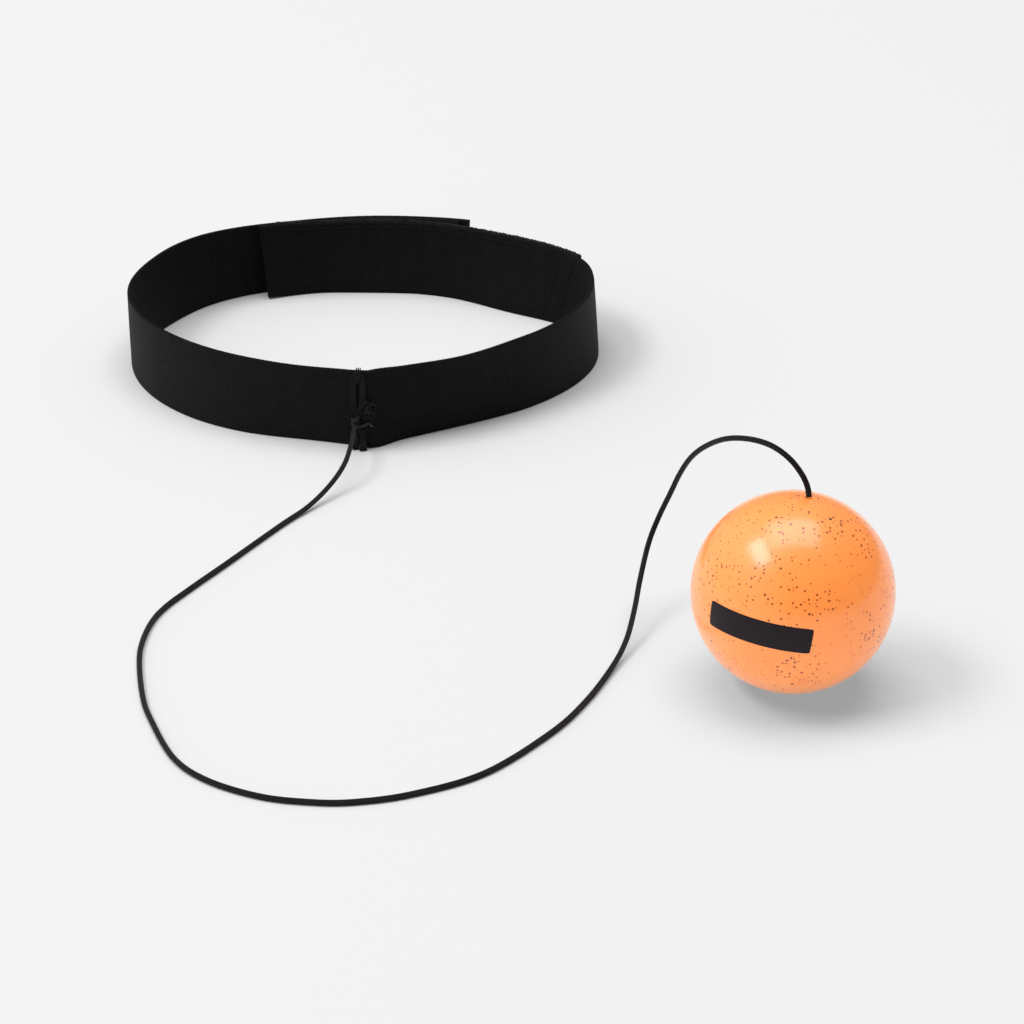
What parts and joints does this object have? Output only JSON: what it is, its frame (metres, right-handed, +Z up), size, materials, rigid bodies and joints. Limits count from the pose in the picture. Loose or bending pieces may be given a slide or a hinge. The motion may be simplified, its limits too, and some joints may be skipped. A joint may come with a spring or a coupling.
{
  "type": "reflex ball headband",
  "caption": "Elastic headband with hook and loop closure at the back and an elastic cord that tethers a light hollow ball to its front.",
  "frame": {"origin": "on the ground, under the middle of the box round the headband and the ball; the free cord is not counted", "axes": "+Z up; +Y to the back of the headband, where it closes; -Y to the wearer's front, where the cord is tied; +X to the right, the side on which the ball lies"},
  "size_m": [0.268, 0.4124, 0.0793],
  "materials": {
    "woven_elastic": "black ribbed woven elastic",
    "hook_tape": "black nylon hooks on a woven ground",
    "loop_tape": "black brushed nylon loops",
    "sewing_thread": "black polyester thread",
    "anchor_tape": "narrow black woven tape",
    "elastic_cord": "black braided cover on a rubber core",
    "ball_shell": "glossy orange soft moulding with small dark specks",
    "print_ink": "satin black print",
    "washer_plastic": "natural white plastic"
  },
  "bodies": {
    "headband": {"elastic_band": "woven_elastic", "loop_tape": "loop_tape", "loop_stitching": "sewing_thread", "cross_seams": "sewing_thread", "flap_hem_stitching": "sewing_thread", "anchor_tape": "anchor_tape", "anchor_bartack": "sewing_thread", "binding_thread": "sewing_thread", "cord_knot": "elastic_cord", "cord_knot_tail": "elastic_cord", "cord": "elastic_cord"},
    "outer_end": {"closure_tab": "woven_elastic", "hook_tape": "hook_tape", "hook_stitching": "sewing_thread"},
    "cord_end": {"inner_cord": "elastic_cord", "stopper_washer": "washer_plastic", "stopper_knot": "elastic_cord", "stopper_tail": "elastic_cord"},
    "ball": {"ball": "ball_shell", "printed_bar": "print_ink"}
  },
  "joints": [
    {"name": "closure_peel", "type": "hinge", "parent": "headband", "child": "outer_end", "pos_m": [-0.09476, 0.17437, 0.015], "axis": [0, 0, 1], "range_deg": [0, 90]},
    {"name": "ball_swing", "type": "hinge", "parent": "headband", "child": "cord_end", "pos_m": [0.10623, -0.15095, 0.06269], "axis": [0, 1, 0], "range_deg": [-25, 25]},
    {"name": "ball_spin", "type": "hinge", "parent": "cord_end", "child": "ball", "pos_m": [0.10247, -0.15321, 0.0315], "axis": [0.1193, 0.0717, 0.9903], "continuous": true}
  ]
}
